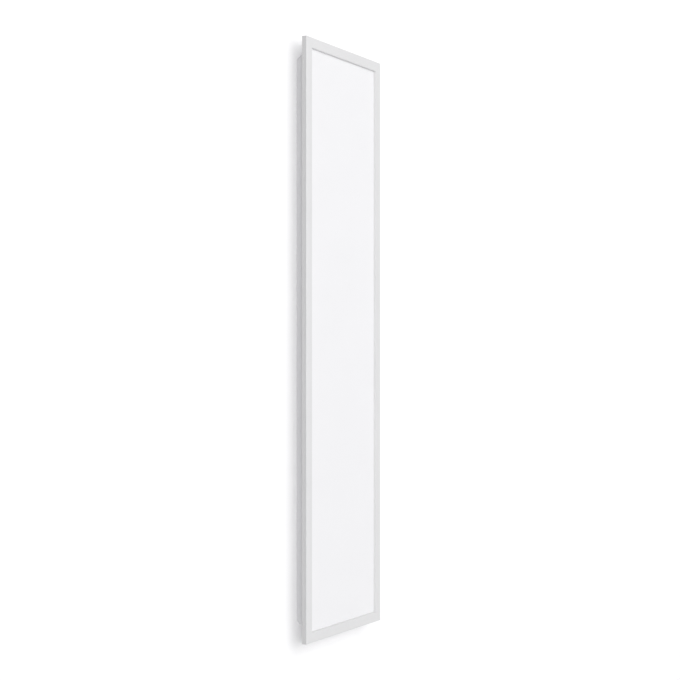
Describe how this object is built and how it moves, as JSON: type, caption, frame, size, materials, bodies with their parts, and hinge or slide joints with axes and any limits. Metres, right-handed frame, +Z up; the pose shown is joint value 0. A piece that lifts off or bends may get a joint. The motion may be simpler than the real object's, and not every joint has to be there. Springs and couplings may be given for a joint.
{
  "type": "led panel light",
  "caption": "Slim rectangular backlit panel luminaire: mitred white frame, recessed opal diffuser, shallow pressed back pan, driver with hinged terminal covers on the back.",
  "frame": {"origin": "centre of the four suspension nuts, on the back plane of the pan", "axes": "+Z up along the long side, +X across the width to the right seen from the front, +Y out of the back; the light leaves towards -Y"},
  "size_m": [0.295, 0.0604, 1.195],
  "materials": {
    "frame_enamel": "white powder coat on extruded aluminium, satin",
    "pan_enamel": "white powder coat on pressed sheet steel, satin",
    "opal_acrylic": "opal diffuser plate, matt front",
    "reflector_film": "white reflector film",
    "board_mask": "white solder mask on aluminium core",
    "led_phosphor": "silicone over phosphor",
    "clear_acrylic": "clear moulded acrylic",
    "natural_nylon": "natural nylon, moulded",
    "connector_nylon": "white moulded nylon",
    "wire_pvc": "PVC insulation",
    "lead_pvc": "white PVC sheath",
    "grommet_rubber": "black rubber",
    "case_polycarbonate": "white moulded polycarbonate, fine texture",
    "terminal_nylon": "grey moulded nylon",
    "button_nylon": "orange moulded nylon",
    "zinc_steel": "zinc-plated steel",
    "glass_epoxy": "green solder mask on glass epoxy",
    "ferrite": "ferrite core with a taped winding",
    "capacitor_sleeve": "shrink sleeve",
    "enamelled_copper": "enamelled copper winding",
    "bare_aluminium": "bare folded sheet"
  },
  "bodies": {
    "panel": {"frame_side_left": "frame_enamel", "frame_side_right": "frame_enamel", "frame_end_top": "frame_enamel", "frame_end_bottom": "frame_enamel", "corner_keys": "zinc_steel", "diffuser_plate": "opal_acrylic", "reflector_sheet": "reflector_film", "led_board_left_upper": "board_mask", "led_board_left_lower": "board_mask", "led_board_right_upper": "board_mask", "led_board_right_lower": "board_mask", "led_packages": "led_phosphor", "led_lenses_left_upper": "clear_acrylic", "led_lenses_left_lower": "clear_acrylic", "led_lenses_right_upper": "clear_acrylic", "led_lenses_right_lower": "clear_acrylic", "board_rivets": "natural_nylon", "board_connectors": "connector_nylon", "feed_wires": "wire_pvc", "board_link_wires": "wire_pvc", "back_pan": "pan_enamel", "pan_screws": "zinc_steel", "suspension_nuts": "zinc_steel", "lead_grommet": "grommet_rubber", "dc_lead": "lead_pvc", "dc_lead_cores": "wire_pvc", "driver_case": "case_polycarbonate", "driver_lid": "case_polycarbonate", "driver_screws": "zinc_steel", "driver_board": "glass_epoxy", "board_screws": "zinc_steel", "driver_transformer": "ferrite", "bulk_capacitor": "capacitor_sleeve", "filter_capacitors": "capacitor_sleeve", "line_choke": "enamelled_copper", "heat_sink": "bare_aluminium", "mains_terminal": "terminal_nylon", "output_terminal": "terminal_nylon", "mains_cord_clamp": "terminal_nylon", "output_cord_clamp": "terminal_nylon", "cord_clamp_screws": "zinc_steel"},
    "mains_cover": {"mains_cover": "case_polycarbonate", "mains_cover_screw": "zinc_steel"},
    "output_cover": {"output_cover": "case_polycarbonate", "output_cover_screw": "zinc_steel"},
    "mains_release_live": {"mains_release_live": "button_nylon"},
    "mains_release_neutral": {"mains_release_neutral": "button_nylon"},
    "output_release_positive": {"output_release_positive": "button_nylon"},
    "output_release_negative": {"output_release_negative": "button_nylon"}
  },
  "joints": [
    {"name": "mains_cover_hinge", "type": "hinge", "parent": "panel", "child": "mains_cover", "pos_m": [0, 0.0214, -0.073], "axis": [1, 0, 0], "range_deg": [0, 95]},
    {"name": "output_cover_hinge", "type": "hinge", "parent": "panel", "child": "output_cover", "pos_m": [0, 0.0214, 0.073], "axis": [-1, 0, 0], "range_deg": [0, 95]},
    {"name": "mains_release_live_push", "type": "slide", "parent": "panel", "child": "mains_release_live", "axis": [0, -1, 0], "range_m": [0, 0.0012], "stiffness_N_per_m": 800, "springref_m": -0.0015},
    {"name": "mains_release_neutral_push", "type": "slide", "parent": "panel", "child": "mains_release_neutral", "axis": [0, -1, 0], "range_m": [0, 0.0012], "stiffness_N_per_m": 800, "springref_m": -0.0015},
    {"name": "output_release_positive_push", "type": "slide", "parent": "panel", "child": "output_release_positive", "axis": [0, -1, 0], "range_m": [0, 0.0012], "stiffness_N_per_m": 800, "springref_m": -0.0015},
    {"name": "output_release_negative_push", "type": "slide", "parent": "panel", "child": "output_release_negative", "axis": [0, -1, 0], "range_m": [0, 0.0012], "stiffness_N_per_m": 800, "springref_m": -0.0015}
  ]
}
